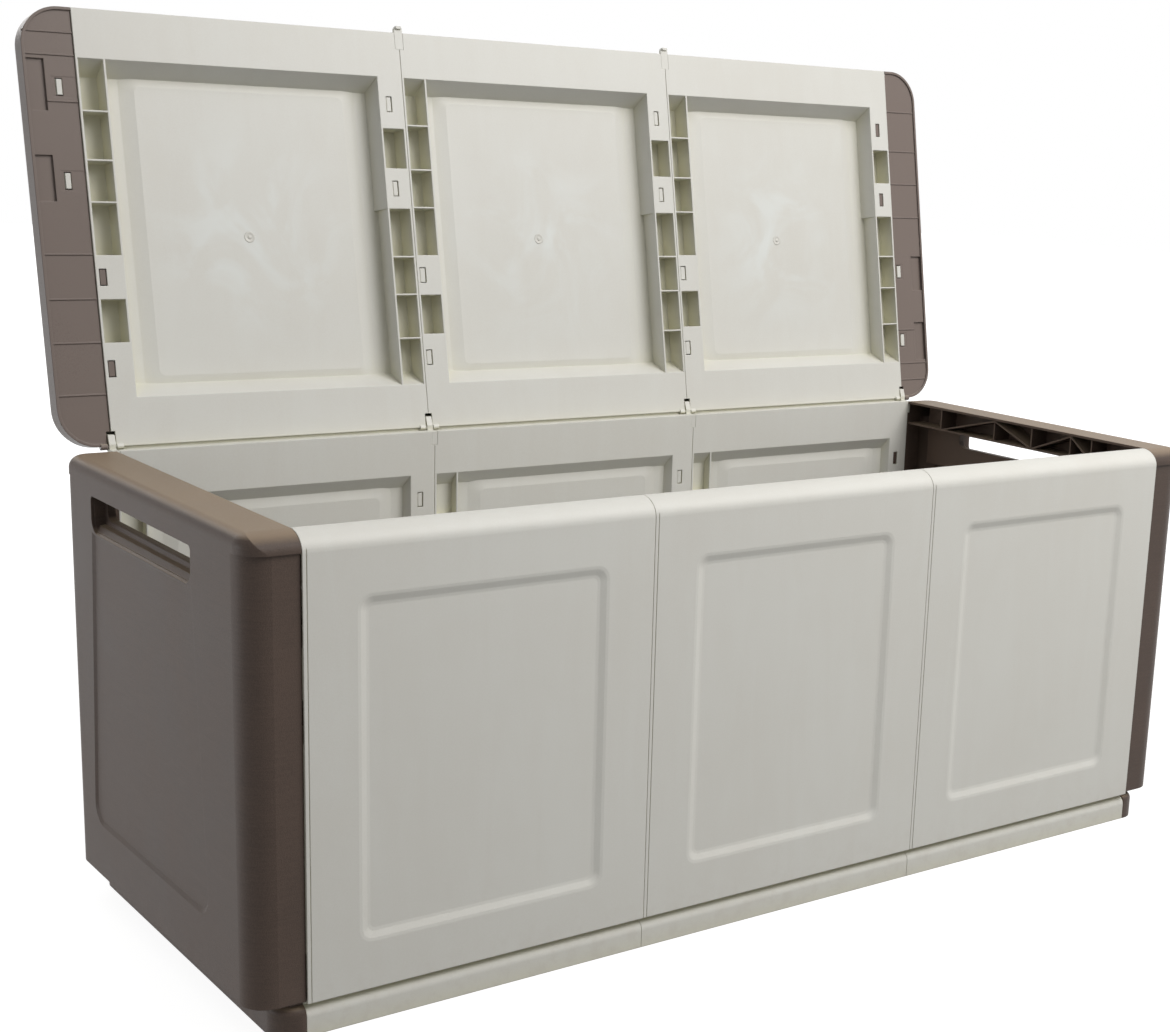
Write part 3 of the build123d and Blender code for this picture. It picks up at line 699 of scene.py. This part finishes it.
def pale_floor_finish():
    """Pale floor that keeps the bench's shadow, and turns white away from it."""
    pale = Finish(bpy.data.materials.new("pale_floor"))
    place = pale.place()
    fine = pale.noise(place, 3.0, 3.0, 0.5)
    distance = pale.node("ShaderNodeVectorMath", {"operation": "LENGTH"}, {0: place}, output="Value")
    away = pale.ramp(distance, 1.3, 2.4)
    speckled = pale.blend(fine, (0.88, 0.88, 0.875, 1.0), (0.92, 0.92, 0.915, 1.0))
    matt = pale.node("ShaderNodeBsdfDiffuse", sockets={"Color": speckled})
    bright = pale.node("ShaderNodeEmission", sockets={"Color": (1.0, 1.0, 1.0, 1.0), "Strength": 1.3})
    shown = pale.node("ShaderNodeMixShader", sockets={0: 0.70 + 0.30 * away, 1: matt, 2: bright})
    dim = pale.node("ShaderNodeBsdfDiffuse", sockets={"Color": (0.23, 0.23, 0.225, 1.0)})
    mixed = pale.node("ShaderNodeMixShader", sockets={0: seen_rays(pale), 1: dim, 2: shown})
    pale.node("ShaderNodeOutputMaterial", sockets={"Surface": mixed})
    return pale.owner


def studio_floor(reach):
    """Square floor that reaches this far from its middle."""
    mesh = bpy.data.meshes.new("studio_floor")
    corners = [(reach * x, reach * y, FLOOR_LEVEL) for x, y in ((-1, -1), (1, -1), (1, 1), (-1, 1))]
    mesh.from_pydata(corners, [], [(0, 1, 2, 3)])
    mesh.materials.append(pale_floor_finish())
    floor = bpy.data.objects.new("studio_floor", mesh)
    bpy.context.scene.collection.objects.link(floor)


def view_camera(eye, focal_length):
    data = bpy.data.cameras.new("view_camera")
    data.sensor_fit = "HORIZONTAL"
    data.sensor_width = 36.0
    data.lens = focal_length
    data.shift_x, data.shift_y = VIEW_SHIFT
    data.clip_start = 0.05
    data.clip_end = 60.0
    camera = bpy.data.objects.new("view_camera", data)
    bpy.context.scene.collection.objects.link(camera)
    # a camera looks along its own -Z, with +Y up
    turn = Matrix((VIEW_RIGHT, -Vector(VIEW_DOWN), -Vector(VIEW_AHEAD))).transposed().to_4x4()
    camera.matrix_world = Matrix.Translation(eye) @ turn
    bpy.context.scene.camera = camera


class BENCH_OT_stage(bpy.types.Operator):
    """Set up the floor, the light and the camera"""

    bl_idname = "bench.stage"
    bl_label = "Studio"

    def execute(self, context):
        studio = context.scene.bench_studio
        studio_sky(studio.sky)
        studio_floor(14.0)
        area_lamp(
            "key_lamp",
            place=(1.2, -1.9, 2.8),
            target=(0.0, 0.0, 0.45),
            size=2.4,
            power=studio.key,
            colour=(1.0, 0.975, 0.945),
        )
        area_lamp(
            "left_lamp",
            place=(-2.9, 0.9, 0.22),
            target=(-0.69, 0.0, 0.10),
            size=1.1,
            power=studio.fill,
            colour=(0.97, 0.985, 1.0),
        )
        area_lamp(
            "back_lamp",
            place=(-0.8, 3.2, 2.4),
            target=(0.0, 0.0, 0.3),
            size=2.0,
            power=studio.rim,
            colour=(1.0, 0.985, 0.97),
        )
        view_camera(studio.eye, studio.focal_length)
        context.scene.view_settings.view_transform = "Standard"
        return {"FINISHED"}


class BENCH_PT_panel(bpy.types.Panel):
    """Buttons for the storage bench"""

    bl_idname = "BENCH_PT_panel"
    bl_label = "Storage Bench"
    bl_space_type = "VIEW_3D"
    bl_region_type = "UI"
    bl_category = "Storage Bench"

    def draw(self, context):
        layout = self.layout
        for settings, title in (
            (context.scene.bench_finish, "Finish"),
            (context.scene.bench_detail, "Details"),
            (context.scene.bench_studio, "Studio"),
        ):
            box = layout.box()
            box.label(text=title)
            for name in settings.__annotations__:
                box.prop(settings, name)
        for operator in OPERATORS:
            layout.operator(operator.bl_idname)


SETTINGS = (BenchFinishSettings, BenchDetailSettings, BenchStudioSettings)
OPERATORS = (
    BENCH_OT_walls,
    BENCH_OT_floor,
    BENCH_OT_ends,
    BENCH_OT_lid,
    BENCH_OT_lid_ends,
    BENCH_OT_fittings,
    BENCH_OT_gate_marks,
    BENCH_OT_stage,
)


def register():
    for kind in (*SETTINGS, *OPERATORS, BENCH_PT_panel):
        bpy.utils.register_class(kind)
    bpy.types.Scene.bench_finish = PointerProperty(type=BenchFinishSettings)
    bpy.types.Scene.bench_detail = PointerProperty(type=BenchDetailSettings)
    bpy.types.Scene.bench_studio = PointerProperty(type=BenchStudioSettings)


def unregister():
    del bpy.types.Scene.bench_studio
    del bpy.types.Scene.bench_detail
    del bpy.types.Scene.bench_finish
    for kind in reversed((*SETTINGS, *OPERATORS, BENCH_PT_panel)):
        bpy.utils.unregister_class(kind)


def main():
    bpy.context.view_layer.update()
    register()
    bpy.ops.bench.walls()
    bpy.ops.bench.floor()
    bpy.ops.bench.ends()
    bpy.ops.bench.lid()
    bpy.ops.bench.lid_ends()
    bpy.ops.bench.fittings()
    bpy.ops.bench.gate_marks()
    bpy.ops.bench.stage()


if __name__ == "__main__":
    main()
